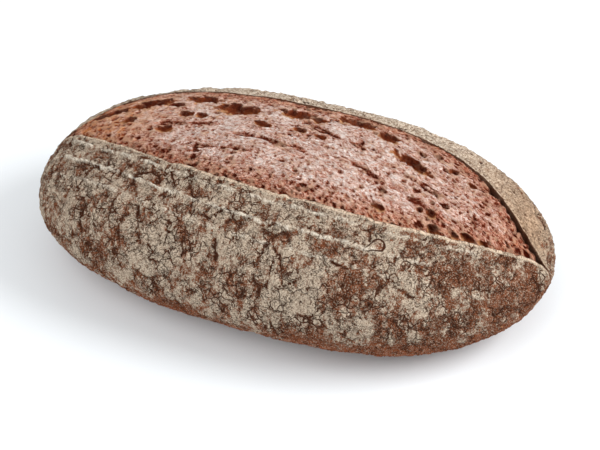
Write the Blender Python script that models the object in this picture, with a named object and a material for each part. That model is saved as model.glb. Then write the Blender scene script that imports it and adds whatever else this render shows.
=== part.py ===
"""Rye bread loaf: a long oval hearth loaf whose one lengthwise cut burst open in the oven.

The loaf is one solid. X runs along it, -Y is its front flank, and it rests on z = 0.
Run with: blender --background --python part.py
"""

import math

import bmesh
import bpy
import numpy as np
from mathutils import Vector, noise

MM = 0.001

# Driving sizes of the whole loaf
LENGTH = 280 * MM
WIDTH = 158 * MM
HEIGHT = 86 * MM
BELLY_HEIGHT = 36 * MM  # height of the widest line above the table

# Plan outline and crown: how full each end is, and how boxy a section is
PLAN_POWER = {"left": 2.40, "right": 2.81}
PLAN_ROUND = {"left": 2.23, "right": 1.73}
END_WIDER = {"left": 0.075, "right": 0.019}  # extra share of width at the tip
END_SWING = {"left": -6.1 * MM, "right": 5.2 * MM}  # how far the middle line swings along Y by the tip
CROWN_SHARE = 0.77
KEEL_SHARE = 1.2
UPPER_POWER = 2.16
LOWER_POWER = 1.84
KEEL_DEPTH = 1.3  # the lower half would reach this far past the table, which flattens it

# The burst: a lens between two torn lips that open from one straight score, seen from above
SCORE_LEFT = (-137 * MM, -1.5 * MM)
SCORE_RIGHT = (138 * MM, 3.2 * MM)
FRONT_LIP = {"reach": -36.4 * MM, "widest": 1 * MM, "left": 1.7, "right": 3.1, "pinch": 0.94}
BACK_LIP = {"reach": 43.2 * MM, "widest": -30 * MM, "left": 4.0, "right": 5.2, "pinch": 1.88}
WIDEST_SHARE = 0.93  # a lip stays this far inside the half width of its section
LEAST_BURST_TURN = 0.10 * math.pi  # least angle that the grid gives to the burst near the ends

# Relief of the burst
FRONT_STEP = 1.6 * MM
FRONT_STEP_WIDTH = 7 * MM
BACK_GROOVE = 4.2 * MM
BACK_GROOVE_WIDTH = 3.4 * MM
GROOVE_LEDGE = 1 * MM  # the back groove keeps its full depth this far from the lip
GROOVE_LEFT_SHARE = 0.45  # depth of the groove near the left end
GROOVE_DEEPENS = (-70 * MM, -10 * MM)
GROOVE_WIDENS = (95 * MM, 120 * MM)
GROOVE_WIDER = 0.8
BURST_SWELL = 1.6 * MM
BURST_SWELL_WIDTH = 22 * MM
STRAND_HEIGHT = 1.3 * MM
STRAND_SIZE = 7 * MM
STRAND_STRETCH = 3.6  # strands are this much longer than wide
CRUMB_HEIGHT = 0.9 * MM
CRUMB_SIZE = 2.6 * MM

# Relief of the crust
LIP_BLEND = 0.9 * MM
LIP_RISE = 1.5 * MM
LIP_RISE_WIDTH = 4.5 * MM
CANE_RIDGES = ((5.5 * MM, 0.9 * MM), (16.5 * MM, 1.1 * MM), (27.5 * MM, 0.45 * MM))  # from the lip, and height
CANE_WIDTH = 1.7 * MM
CANE_BREAKS = 24 * MM  # along the ridges, their height varies at this size
CANE_EVENNESS = (0.65, 0.5)  # mean share of the height, and how far it varies
CANE_REACH = (118 * MM, 140 * MM)  # the basket's marks fade between these distances from mid length
LUMP_HEIGHT = 1.5 * MM
LUMP_SIZE = 42 * MM
DIMPLE_HEIGHT = 0.6 * MM
DIMPLE_SIZE = 13 * MM
BASE_FADE = 6 * MM  # relief grows from nothing at the table to full at this height

# Gas bubbles torn open in the burst: centre x and y, length, width, depth in mm, and turn in degrees
BUBBLES = (
    (-40, 21, 21, 8, 5.0, -1),
    (-64, 28, 19, 7, 4.0, 4),
    (-93, 15, 23, 3.6, 3.6, 14),
    (-66, 9, 7, 4, 2.6, 10),
    (-23, 10, 9, 4, 2.8, -8),
    (-11, 27, 19, 7, 4.2, 0),
    (22, 34, 17, 7, 4.2, -4),
    (41, 28, 12, 7, 4.0, -10),
    (60, 13, 20, 5, 4.2, -16),
    (10, 11, 8, 3.6, 2.4, -6),
    (80, 21, 5, 5, 2.8, 2),
    (80, -15, 4.5, 4.5, 2.6, 2),
    (83, -23, 6, 5, 4.0, 2),
    (106, -15, 14, 6, 3.4, -10),
    (55, -24, 7, 3.4, 2.6, 2),
)
BUBBLE_RAGGED = 0.3
BUBBLE_RAGGED_SIZE = 5 * MM
BUBBLE_EDGE = (0.65, 1.25)  # a bubble's wall falls between these shares of its half width
BUBBLE_LIP_GAP = 2.5 * MM

# Seeds of the noise
SEED_CANE = 3
SEED_DIMPLES = 5
SEED_LUMPS = 11
SEED_BUBBLES = 17
SEED_STRANDS = 23
SEED_CRUMB = 29

# Grid before it is thinned
RINGS = 250
COLUMNS = 260
BURST_COLUMNS = 0.44  # share of the columns that cross the burst
BACK_LIP_TURN = 0.06  # where round the primitive's ring the back lip lies
SECTION_SAMPLES = 480
STATION_SAMPLES = 2001
TRIANGLES_KEPT = 9800


def clear_scene():
    for obj in list(bpy.data.objects):
        bpy.data.objects.remove(obj, do_unlink=True)


def side(x):
    return "left" if x < 0 else "right"


def taper(x, share):
    """1 at mid length, falling to 0 at the loaf's ends; share above 1 keeps it full for longer."""
    t = min(1.0, abs(x) / (LENGTH / 2))
    return max(0.0, 1 - t ** (PLAN_POWER[side(x)] * share)) ** (1 / PLAN_ROUND[side(x)])


def end_share(x):
    """0 at mid length, growing with the square of the distance to 1 at a tip."""
    return min(1.0, abs(x) / (LENGTH / 2)) ** 2


def half_width(x):
    return WIDTH / 2 * taper(x, 1.0) * (1 + END_WIDER[side(x)] * end_share(x))


def middle_line(x):
    return END_SWING[side(x)] * end_share(x)


def lip(x, form):
    """Y of a lip, which leaves the straight score by its reach where it is widest."""
    (start_x, start_y), (end_x, end_y) = SCORE_LEFT, SCORE_RIGHT
    score_y = start_y + (end_y - start_y) * (x - start_x) / (end_x - start_x)
    tip_x, power = (start_x, form["left"]) if x < form["widest"] else (end_x, form["right"])
    u = min(1.0, (x - form["widest"]) / (tip_x - form["widest"]))
    return score_y + form["reach"] * (1 - u**power) ** form["pinch"]


def lip_angle(x, y):
    """Angle on the unit section curve at x, from +Y towards +Z, of the upper point at y."""
    share = (y - middle_line(x)) / max(half_width(x), MM * MM)
    share = max(-WIDEST_SHARE, min(WIDEST_SHARE, share))
    return math.atan2((1 - abs(share) ** UPPER_POWER) ** (1 / UPPER_POWER), share)


def section(x):
    """One cross section from the back lip over the top and round.

    It gives y, z and arc length of each point, the arc length where the burst ends, and those of the lips.
    """
    back = lip_angle(x, lip(x, BACK_LIP))
    front = lip_angle(x, lip(x, FRONT_LIP))
    middle, half_turn = (back + front) / 2, max(front - back, LEAST_BURST_TURN) / 2
    angles = np.linspace(middle - half_turn, middle - half_turn + 2 * math.pi, SECTION_SAMPLES)
    c, s = np.cos(angles), np.sin(angles)
    power = np.where(s >= 0, UPPER_POWER, LOWER_POWER)
    radius = (np.abs(c) ** power + np.abs(s) ** power) ** (-1 / power)
    upper = (HEIGHT - BELLY_HEIGHT) * taper(x, CROWN_SHARE)
    lower = BELLY_HEIGHT * KEEL_DEPTH * taper(x, KEEL_SHARE)
    y = middle_line(x) + half_width(x) * radius * c
    z = np.maximum(BELLY_HEIGHT + np.where(s >= 0, upper, lower) * radius * s, 0.0)
    arc = np.concatenate([[0.0], np.cumsum(np.hypot(np.diff(y), np.diff(z)))])
    burst_end = np.interp(middle + half_turn, angles, arc)
    lips = np.interp([back, front], angles, arc)
    return y, z, arc, burst_end, lips


def station_table():
    """Positions along X whose rings lie evenly over the surface, from the left end to the right."""
    x = -LENGTH / 2 * np.cos(np.linspace(0, math.pi, STATION_SAMPLES))
    reach = np.array([half_width(value) for value in x])
    arc = np.concatenate([[0.0], np.cumsum(np.hypot(np.diff(x), np.diff(reach)))])
    return arc / arc[-1], x


def bump(distance, width):
    return math.exp(-((distance / width) ** 2))


def ease(value):
    value = max(0.0, min(1.0, value))
    return value * value * (3 - 2 * value)


def between(value, span):
    """Rises smoothly from 0 at the span's start to 1 at its end."""
    return ease((value - span[0]) / (span[1] - span[0]))


def lumps(point, size, seed):
    return noise.noise(point / size + Vector((seed, seed, seed)))


def crust_relief(point, past):
    """Relief of the floury crust, past the nearest lip: swollen lips, basket ridges, lumps and dimples."""
    height = LIP_RISE * bump(past, LIP_RISE_WIDTH)
    along = 1 - between(abs(point.x), CANE_REACH)
    mean, swing = CANE_EVENNESS
    for distance, ridge in CANE_RIDGES:
        broken = mean + swing * lumps(Vector((point.x, distance, 0)), CANE_BREAKS, SEED_CANE)
        height += ridge * broken * along * bump(past - distance, CANE_WIDTH)
    height += LUMP_HEIGHT * lumps(point, LUMP_SIZE, SEED_LUMPS)
    height += DIMPLE_HEIGHT * lumps(point, DIMPLE_SIZE, SEED_DIMPLES)
    return height


def bubble_depth(point):
    """How deep the torn bubbles cut at this point of the burst."""
    deepest = 0.0
    ragged = BUBBLE_RAGGED * lumps(point, BUBBLE_RAGGED_SIZE, SEED_BUBBLES)
    for x, y, length, width, depth, turn in BUBBLES:
        dx, dy = point.x / MM - x, point.y / MM - y
        a = math.radians(turn)
        along = dx * math.cos(a) + dy * math.sin(a)
        across = dy * math.cos(a) - dx * math.sin(a)
        reach = math.hypot(along / (length / 2), across / (width / 2)) + ragged
        deepest = max(deepest, depth * MM * (1 - between(reach, BUBBLE_EDGE)))
    return deepest


def burst_relief(point, from_back, from_front):
    """Relief of the torn crumb: steps at the lips, strands drawn along the loaf, and bubbles."""
    inner = min(from_back, from_front)
    widen = 1 + GROOVE_WIDER * between(point.x, GROOVE_WIDENS)
    deepen = GROOVE_LEFT_SHARE + (1 - GROOVE_LEFT_SHARE) * between(point.x, GROOVE_DEEPENS)
    height = -FRONT_STEP * (1 - ease(from_front / FRONT_STEP_WIDTH))
    height -= BACK_GROOVE * deepen * (1 - ease((from_back - GROOVE_LEDGE) / (BACK_GROOVE_WIDTH * widen)))
    height += BURST_SWELL * ease(inner / BURST_SWELL_WIDTH)
    drawn = Vector((point.x / STRAND_STRETCH, point.y, point.z))
    height += STRAND_HEIGHT * lumps(drawn, STRAND_SIZE, SEED_STRANDS)
    height += CRUMB_HEIGHT * lumps(drawn, CRUMB_SIZE, SEED_CRUMB)
    height += LUMP_HEIGHT * lumps(point, LUMP_SIZE, SEED_LUMPS)
    return height - bubble_depth(point) * ease(inner / BUBBLE_LIP_GAP)


def relief(point, spans):
    """Height of the relief at a point, blended across the lips in about a millimetre."""
    from_back, from_front = spans
    inner = min(from_back, from_front)
    inside = ease(inner / LIP_BLEND + 0.5)
    height = 0.0
    if inside < 1:
        height += (1 - inside) * crust_relief(point, max(0, -inner))
    if inside > 0:
        height += inside * burst_relief(point, max(0, from_back), max(0, from_front))
    return height


def past_score(point):
    """Distance of a point on the loaf's end from the end of the score."""
    x = SCORE_LEFT[0] if point.x < 0 else SCORE_RIGHT[0]
    y, z = section(x)[:2]
    top = int(np.argmax(z))
    return (point - Vector((x, float(y[top]), float(z[top])))).length


def shape_loaf(bm):
    """Lays the primitive's rings on the loaf's sections. Returns each vertex's distances inside the lips."""
    share_table, x_table = station_table()
    rings = {}
    spans = {}
    for vert in bm.verts:
        polar = round(math.acos(max(-1.0, min(1.0, vert.co.z))) / math.pi * RINGS)
        turn = (math.atan2(vert.co.y, vert.co.x) / (2 * math.pi) - BACK_LIP_TURN) % 1.0
        if polar not in rings:
            x = float(np.interp(1 - polar / RINGS, share_table, x_table))
            rings[polar] = (x, section(x))
        x, (y, z, arc, burst_end, lips) = rings[polar]
        if turn < BURST_COLUMNS:
            along = burst_end * turn / BURST_COLUMNS
        else:
            rest = (turn - BURST_COLUMNS) / (1 - BURST_COLUMNS)
            along = burst_end + (arc[-1] - burst_end) * rest
        vert.co = (x, float(np.interp(along, arc, y)), float(np.interp(along, arc, z)))
        from_back, from_front = along - lips[0], lips[1] - along
        if from_front < 0 and arc[-1] - along + lips[0] < -from_front:
            from_back, from_front = along - lips[0] - arc[-1], arc[-1]  # nearer the back lip, the long way round
        if not SCORE_LEFT[0] < x < SCORE_RIGHT[0]:
            from_back = from_front = -past_score(vert.co)
        spans[vert.index] = (from_back, from_front)
    return spans


def make_loaf(material):
    mesh = bpy.data.meshes.new("loaf")
    bm = bmesh.new()
    bmesh.ops.create_uvsphere(bm, u_segments=COLUMNS, v_segments=RINGS, radius=1)
    bm.verts.index_update()
    spans = shape_loaf(bm)
    bm.normal_update()
    moved = {}
    for vert in bm.verts:
        height = relief(vert.co, spans[vert.index]) * ease(vert.co.z / BASE_FADE)
        moved[vert.index] = vert.co + vert.normal * height
    for vert in bm.verts:
        vert.co = moved[vert.index]
        vert.co.z = max(vert.co.z, 0.0)
    bm.to_mesh(mesh)
    bm.free()
    mesh.materials.append(material)
    mesh.shade_smooth()
    loaf = bpy.data.objects.new("loaf", mesh)
    thin = loaf.modifiers.new("Thin", "DECIMATE")
    thin.ratio = TRIANGLES_KEPT / (2 * COLUMNS * (RINGS - 1))
    return loaf


def crust_material():
    material = bpy.data.materials.new("floured rye crust")
    material.use_nodes = True
    shader = material.node_tree.nodes["Principled BSDF"]
    shader.inputs["Base Color"].default_value = (0.40, 0.28, 0.20, 1.0)
    shader.inputs["Roughness"].default_value = 0.9
    shader.inputs["Metallic"].default_value = 0.0
    return material


def main():
    clear_scene()
    collection = bpy.data.collections.new("rye bread loaf")
    bpy.context.scene.collection.children.link(collection)
    collection.objects.link(make_loaf(crust_material()))


main()
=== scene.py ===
import math
from functools import partial, reduce

import bpy
import numpy as np
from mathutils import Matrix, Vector, noise


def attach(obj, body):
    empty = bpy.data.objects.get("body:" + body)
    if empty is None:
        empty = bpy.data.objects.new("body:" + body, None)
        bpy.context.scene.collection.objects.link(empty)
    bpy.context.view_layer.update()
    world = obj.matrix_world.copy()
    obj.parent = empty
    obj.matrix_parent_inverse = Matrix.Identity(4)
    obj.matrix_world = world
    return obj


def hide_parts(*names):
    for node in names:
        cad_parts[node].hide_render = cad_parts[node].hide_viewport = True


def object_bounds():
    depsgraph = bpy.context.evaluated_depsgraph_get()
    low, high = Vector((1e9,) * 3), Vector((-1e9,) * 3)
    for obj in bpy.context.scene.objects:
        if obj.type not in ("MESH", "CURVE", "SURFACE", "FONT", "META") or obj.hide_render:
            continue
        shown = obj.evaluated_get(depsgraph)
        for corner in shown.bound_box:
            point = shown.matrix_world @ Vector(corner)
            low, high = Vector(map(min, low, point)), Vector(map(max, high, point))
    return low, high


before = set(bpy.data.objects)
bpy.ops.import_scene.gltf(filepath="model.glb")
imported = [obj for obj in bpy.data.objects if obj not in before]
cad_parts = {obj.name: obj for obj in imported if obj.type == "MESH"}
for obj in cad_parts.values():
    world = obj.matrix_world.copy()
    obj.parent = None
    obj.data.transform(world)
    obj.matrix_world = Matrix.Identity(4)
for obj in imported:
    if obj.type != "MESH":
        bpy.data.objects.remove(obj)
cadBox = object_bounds()
print("frame loaded:", sorted(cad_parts))

mm = 0.001

# Node settings that many of the trees use
smooth = {"interpolation_type": "SMOOTHSTEP"}
plus, minus, times = {"operation": "ADD"}, {"operation": "SUBTRACT"}, {"operation": "MULTIPLY"}
timesPlus, scaled, largest = {"operation": "MULTIPLY_ADD"}, {"operation": "SCALE"}, {"operation": "MAXIMUM"}
absolute, lessThan = {"operation": "ABSOLUTE"}, {"operation": "LESS_THAN"}
floats, vectors, colours = {"data_type": "FLOAT"}, {"data_type": "FLOAT_VECTOR"}, {"data_type": "RGBA"}
toEdge = {"feature": "DISTANCE_TO_EDGE"}
# These are stored with the mesh as vectors: the place before the relief, and how the streaks run
vectorValues = ("rest", "flow")


def hexColour(text):  # sRGB hex to the linear values that sockets hold
    channels = [int(text[i:i + 2], 16) / 255 for i in (1, 3, 5)]
    return [c / 12.92 if c <= 0.04045 else ((c + 0.055) / 1.055) ** 2.4 for c in channels] + [1.0]


def ease(value):
    value = np.clip(value, 0, 1)
    return value * value * (3 - 2 * value)


def rise(value, low, high):  # smooth step from 0 at low to 1 at high
    return ease((value - low) / (high - low))


# Adds one node with its links, values and settings, and gives one of its outputs. Inputs are listed by name
# or in the sockets' order, such as a range's value, its low and high, and what they turn into.
def addNode(tree, kind, inputs=(), settings=None, output=0):
    node = tree.nodes.new(kind if kind.startswith(("Geometry", "Function")) else "ShaderNode" + kind)
    for name, value in (settings or {}).items():
        setattr(node, name, value)
    for name, value in inputs.items() if isinstance(inputs, dict) else enumerate(inputs):
        if isinstance(value, bpy.types.NodeSocket):
            tree.links.new(value, node.inputs[name])
        else:
            isColour = isinstance(value, str) and value.startswith("#")
            node.inputs[name].default_value = hexColour(value) if isColour else value
    return node.outputs[output]


def fold(add, fields, settings):  # joins several fields into their sum, product or largest
    return reduce(lambda one, other: add("Math", (one, other), settings), fields)


def addShares(add, total, fields, shares):  # adds a share of each of the named fields to the total
    for name, share in shares.items():
        total = add("Math", (fields[name], share, total), timesPlus)
    return total


def addSpans(add, fields, spans):  # where each named field begins and ends to count, and its strength at both
    return [add("MapRange", (fields[name], *ends), smooth) for name, *ends in spans]


def coat(add, base, *coats):  # lays colours over the base, each by its own share
    for share, colour in coats:
        base = add("Mix", {0: share, 6: base, 7: colour}, colours, 2)
    return base


def placeInMm(add, rest):  # the place before the relief, its x and its z
    place = add("VectorMath", {0: rest, "Scale": 1 / mm}, scaled)
    parts = add("SeparateXYZ", (place,)).node.outputs
    return place, parts["X"], parts["Z"]


def addPatterns(add, vector, patterns):  # noises by name, each with its size in mm, detail and roughness
    found = {}
    for name, (size, detail, roughness) in patterns.items():
        inputs = {"Vector": vector, "Scale": 1 / size, "Detail": detail, "Roughness": roughness}
        found[name] = add("TexNoise", inputs)
    return found


# The loaf's form, as the solid has it: X along it, -Y its front flank, z = 0 the table
loaf = {
    "length": 280 * mm,
    "width": 158 * mm,
    "height": 86 * mm,
    "belly": 36 * mm,  # height of the widest line
    "planPower": {"left": 2.40, "right": 2.81},
    "planRound": {"left": 2.23, "right": 1.73},
    "endWider": {"left": 0.075, "right": 0.019},
    "endSwing": {"left": -6.1 * mm, "right": 5.2 * mm},
    "crownShare": 0.77,
    "keelShare": 1.2,
    "keelDepth": 1.3,
    "upperPower": 2.16,
    "lowerPower": 1.84,
    "samples": 900,
}

# The burst opens from one straight score between two torn lips
score = {
    "left": (-137 * mm, -1.5 * mm),
    "right": (138 * mm, 3.2 * mm),
    "front": {"reach": -36.4 * mm, "widest": 1 * mm, "left": 1.7, "right": 3.1, "pinch": 0.94, "seed": 41},
    "back": {"reach": 43.2 * mm, "widest": -30 * mm, "left": 5.4, "right": 5.2, "pinch": 1.88, "seed": 57},
    "leastWidth": 1.6 * mm,  # the lips come no closer, so no column of the grid is pinched
    # The torn edge's wander: lengths and heights. It dies out where a lip is closer than this to the score
    "ragged": ((9 * mm, 0.8 * mm), (3.4 * mm, 0.6 * mm), (1.7 * mm, 0.4 * mm)),
    "raggedReach": 8 * mm,
    "mostShare": 0.93,  # the lips stay inside this share of the half width
    "seam": 0.35,  # a section's curve starts this far behind the back lip, in radians
}


def sideOf(x):
    return "left" if x < 0 else "right"


def endShare(x):
    return min(1.0, abs(x) / (loaf["length"] / 2)) ** 2


def taper(x, share):
    t = min(1.0, abs(x) / (loaf["length"] / 2))
    side = sideOf(x)
    return max(0.0, 1 - t ** (loaf["planPower"][side] * share)) ** (1 / loaf["planRound"][side])


def halfWidth(x):
    return loaf["width"] / 2 * taper(x, 1.0) * (1 + loaf["endWider"][sideOf(x)] * endShare(x))


def middleLine(x):
    return loaf["endSwing"][sideOf(x)] * endShare(x)


def wave(x, length, height, seed):  # a wander along the loaf
    return height * noise.noise(Vector((x / length, seed, 0)))


def lipY(x, name):
    lip = score[name]
    (startX, startY), (endX, endY) = score["left"], score["right"]
    scoreY = startY + (endY - startY) * (x - startX) / (endX - startX)
    tipX, power = (startX, lip["left"]) if x < lip["widest"] else (endX, lip["right"])
    u = min(1.0, (x - lip["widest"]) / (tipX - lip["widest"]))
    reach = lip["reach"] * (1 - u**power) ** lip["pinch"]
    wander = sum(wave(x, length, height, lip["seed"]) for length, height in score["ragged"])
    return scoreY + reach + wander * float(ease(abs(reach) / score["raggedReach"]))


def sectionAt(x):  # one cross section, as a closed curve that starts just behind the back lip
    half, power = max(halfWidth(x), mm * mm), loaf["upperPower"]
    back, front = lipY(x, "back"), lipY(x, "front")
    width = max(0.0, back - front)
    spare = max(0.0, score["leastWidth"] - width) / 2
    turns = []
    for y in (back + spare, front - spare):
        share = max(-score["mostShare"], min(score["mostShare"], (y - middleLine(x)) / half))
        turns.append(math.atan2((1 - abs(share) ** power) ** (1 / power), share))
    start = turns[0] - score["seam"]
    angles = np.linspace(start, start + 2 * math.pi, loaf["samples"])
    c, s = np.cos(angles), np.sin(angles)
    powers = np.where(s >= 0, power, loaf["lowerPower"])
    radius = (np.abs(c) ** powers + np.abs(s) ** powers) ** (-1 / powers)
    upper = (loaf["height"] - loaf["belly"]) * taper(x, loaf["crownShare"])
    lower = loaf["belly"] * loaf["keelDepth"] * taper(x, loaf["keelShare"])
    y = middleLine(x) + half * radius * c
    z = np.maximum(loaf["belly"] + np.where(s >= 0, upper, lower) * radius * s, 0.0)
    arc = np.concatenate([[0.0], np.cumsum(np.hypot(np.diff(y), np.diff(z)))])
    backArc, frontArc = np.interp(turns, angles, arc)
    return {"x": x, "y": y, "z": z, "arc": arc, "back": backArc, "front": frontArc, "width": width}


def onSection(section, arcs, depth=0.0):  # points at these arc lengths, sunk by depth along the normal
    places = []
    for shift in (0.0, -0.05 * mm, 0.05 * mm):
        at = np.mod(arcs + shift, section["arc"][-1])
        places.append([np.interp(at, section["arc"], section[axis]) for axis in ("y", "z")])
    (y, z), (y0, z0), (y1, z1) = places
    length = np.maximum(np.hypot(y1 - y0, z1 - z0), 1e-9)
    y, z = y - depth * (z1 - z0) / length, z + depth * (y1 - y0) / length
    return np.stack([np.full_like(y, section["x"]), y, z], axis=-1)


def evenStations(start, end, count):  # X of each ring, spaced evenly over the plan outline
    x = (start + end) / 2 - (end - start) / 2 * np.cos(np.linspace(0, math.pi, 2001))
    reach = np.array([halfWidth(value) for value in x])
    arc = np.concatenate([[0.0], np.cumsum(np.hypot(np.diff(x), np.diff(reach)))])
    return np.interp(np.linspace(0, arc[-1], count + 2), arc, x)[1:-1]


def addObject(name, mesh):
    mesh.shade_smooth()
    made = bpy.data.objects.new(name, mesh)
    bpy.context.scene.collection.objects.link(made)
    return made


def storeValues(mesh, values):  # point attributes by name; a pole gets the mean of the ring beside it
    for name, value in values.items():
        value = np.asarray(value, dtype=float)
        kind, width = ("FLOAT_VECTOR", 3) if value.ndim == 3 else ("FLOAT", 1)
        flat = np.zeros((len(mesh.vertices), width))
        flat[:value.size // width] = value.reshape(-1, width)
        if value.ndim > 1:
            columns = value.shape[1]
            flat[-2] = flat[:columns].mean(axis=0)
            flat[-1] = flat[-2 - columns:-2].mean(axis=0)
        attribute = mesh.attributes.new(name, kind, "POINT")
        attribute.data.foreach_set("vector" if width == 3 else "value", flat.ravel())


def closedSkin(name, rings, poles, values):  # a closed piece from rings of points and a point at each end
    count, columns = rings.shape[:2]
    ring, column = np.meshgrid(np.arange(count - 1), np.arange(columns), indexing="ij")
    after = (column + 1) % columns
    near, far = ring * columns, (ring + 1) * columns
    quads = np.stack([near + column, near + after, far + after, far + column], axis=-1).reshape(-1, 4)
    first, end = count * columns, (count - 1) * columns
    caps = [(first, (i + 1) % columns, i) for i in range(columns)]
    caps += [(first + 1, end + i, end + (i + 1) % columns) for i in range(columns)]
    points = np.concatenate([rings.reshape(-1, 3), np.array(poles)])
    mesh = bpy.data.meshes.new(name)
    mesh.from_pydata(points.tolist(), [], quads.tolist() + caps)
    mesh.update()
    storeValues(mesh, {"rest": rings, **values})
    return addObject(name, mesh)


def pointsOf(mesh):
    points = np.empty(len(mesh.vertices) * 3)
    mesh.vertices.foreach_get("co", points)
    return points.reshape(-1, 3)


def fromLine(points, start, end):  # each point's share of the way along a line, and its distance from it
    start, along = np.array(start), np.array(end) - start
    share = np.clip(((points - start) @ along) / (along @ along), 0, 1)
    return share, np.linalg.norm(points - start - share[..., None] * along, axis=-1)


# A Geometry Nodes group with a geometry input and one named input for each size, which reads these values
# that are stored with the mesh
def startTree(name, sizes, values):
    tree = bpy.data.node_groups.new(name, "GeometryNodeTree")
    for way in ("INPUT", "OUTPUT"):
        tree.interface.new_socket(name="Geometry", in_out=way, socket_type="NodeSocketGeometry")
    for title, value in sizes.items():
        socket = tree.interface.new_socket(name=title, in_out="INPUT", socket_type="NodeSocketFloat")
        socket.default_value = value
    add, read = partial(addNode, tree), {}
    for value in values:
        kind = vectors if value in vectorValues else floats
        read[value] = add("GeometryNodeInputNamedAttribute", {"Name": value}, kind)
    return tree, add, tree.nodes.new("NodeGroupInput").outputs, read


def pushPoints(add, shape, push, kept):  # stores the fields that the material reads, then moves the points
    for name, field in kept.items():
        shape = add("GeometryNodeStoreNamedAttribute", {"Geometry": shape, "Name": name, "Value": field},
                    {"data_type": "FLOAT", "domain": "POINT"})
    return add("GeometryNodeSetPosition", {"Geometry": shape, "Offset": push})


def endTree(tree, shape, material):
    shape = addNode(tree, "GeometryNodeRealizeInstances", {"Geometry": shape})
    shape = addNode(tree, "GeometryNodeSetMaterial", {"Geometry": shape, "Material": material})
    tree.links.new(shape, tree.nodes.new("NodeGroupOutput").inputs["Geometry"])
    return tree


def runTree(made, tree, sizes):  # applies the tree as a modifier and keeps its result as a plain mesh
    modifier = made.modifiers.new(tree.name, "NODES")
    modifier.node_group = tree
    for socket in tree.interface.items_tree:
        if socket.in_out == "INPUT" and socket.name in sizes:
            modifier[socket.identifier] = sizes[socket.name]
    graph = bpy.context.evaluated_depsgraph_get()
    result = bpy.data.meshes.new_from_object(made.evaluated_get(graph), preserve_all_data_layers=True,
                                             depsgraph=graph)
    made.modifiers.remove(modifier)
    old = made.data
    made.data = result
    bpy.data.meshes.remove(old)
    result.name = made.name


def keepInside(made):  # the finished skin stays above the table and inside the solid's box
    low, high = (np.array(corner) for corner in cadBox)
    made.data.vertices.foreach_set("co", np.clip(pointsOf(made.data), low, high).ravel())
    made.data.update()


# Relief that the skins share with the solid: size, height and seed
relief = {
    "lump": (42 * mm, 1.5 * mm, 11),
    "dimple": (13 * mm, 0.6 * mm, 5),
    "baseFade": 6 * mm,
}


def lumps(points, size, height, seed):
    shift = Vector((seed, seed, seed))
    flat = (points.reshape(-1, 3) / size).tolist()
    values = [noise.noise(Vector(point) + shift) for point in flat]
    return height * np.array(values).reshape(points.shape[:-1])


# Floured crust: flour paste from the proving basket, dried in the oven and cracked into small plates
crust = {
    "rings": 335,
    "lipStep": 0.58 * mm,  # column spacing at the lips, on the flanks and on the sole
    "flankStep": 0.96 * mm,
    "soleStep": 4.5 * mm,
    "fineReach": 34 * mm,
    "flankLength": 106 * mm,
    "lipRise": 0.9 * mm,
    "lipRiseWidth": 4.0 * mm,
    "behind": (-8 * mm, 10 * mm),  # over this stretch of y the front goes over into the back
    # The hidden trough under the burst: distance from the lip in mm and share of its depth
    "trough": ((0.1, 0.01), (0.28, 0.06), (0.45, 0.2), (0.6, 0.42), (0.75, 0.7), (1.0, 0.95), (2.2, 1.0)),
    "troughDepth": 10 * mm,
    "troughShare": 0.9,  # and no deeper than this share of the burst's width
    "troughFloor": 7,
    "wall": (0.15 * mm, 1.6 * mm),  # over these depths the skin goes over into the trough's wall
    "fullOpening": 6 * mm,  # where the burst is narrower, its edges are drawn in
}


def edgeShare(opening):
    return min(1.0, opening / crust["fullOpening"])


def troughDepth(section):
    return min(crust["troughDepth"], section["width"] * crust["troughShare"])


def crustShares():  # where each column lies between the front lip and the back lip, round under the loaf
    section = sectionAt(0.0)
    total = section["arc"][-1] - section["front"] + section["back"]
    places = [0.0]
    while places[-1] < total:
        fromLip = min(places[-1], total - places[-1])
        coarser = float(ease(fromLip / crust["fineReach"]))
        step = crust["lipStep"] + (crust["flankStep"] - crust["lipStep"]) * coarser
        places.append(places[-1] + (crust["soleStep"] if fromLip > crust["flankLength"] else step))
    return np.array(places) / places[-1]


def buildCrust():
    shares, end = crustShares(), loaf["length"] / 2
    inset, deep = np.array(crust["trough"]).T
    floorShare = np.linspace(0, 1, crust["troughFloor"] + 2)[1:-1]
    rings, values = [], {"past": [], "wall": [], "torn": [], "behind": []}
    for x in evenStations(-end, end, crust["rings"]):
        section = sectionAt(x)
        outerLength = section["arc"][-1] - section["front"] + section["back"]
        opening = section["front"] - section["back"]
        near = inset * mm * edgeShare(opening)
        floor = near[-1] + (opening - 2 * near[-1]) * floorShare
        across = np.concatenate([near, floor, opening - near[::-1]])
        depth = np.concatenate([deep, np.ones(len(floor)), deep[::-1]]) * troughDepth(section)
        outer = onSection(section, section["front"] + shares * outerLength)
        ring = np.concatenate([outer, onSection(section, section["back"] + across, depth)])
        beyond = max(0.0, abs(x) - abs(score[sideOf(x)][0]))
        fromLip = np.hypot(np.minimum(shares, 1 - shares) * outerLength, beyond)
        rings.append(ring)
        values["past"].append(np.append(fromLip, np.full(len(across), beyond)))
        values["wall"].append(np.append(np.zeros(len(outer)), rise(depth, *crust["wall"])))
        values["torn"].append(np.append(np.zeros(len(outer)), np.ones(len(across))))
        values["behind"].append(rise(ring[:, 1], *crust["behind"]))
    rings = np.array(rings)
    values = {name: np.array(value) for name, value in values.items()}
    swell = crust["lipRise"] * np.exp(-((values["past"] / crust["lipRiseWidth"]) ** 2))
    swell = swell * (1 - values["behind"]) + lumps(rings, *relief["lump"]) + lumps(rings, *relief["dimple"])
    values["swell"] = swell * ease(rings[..., 2] / relief["baseFade"]) * (1 - values["wall"])
    values["past"] = values["past"] / mm
    return closedSkin("crust", rings, [(x, middleLine(x), loaf["belly"]) for x in (-end, end)], values)


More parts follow.
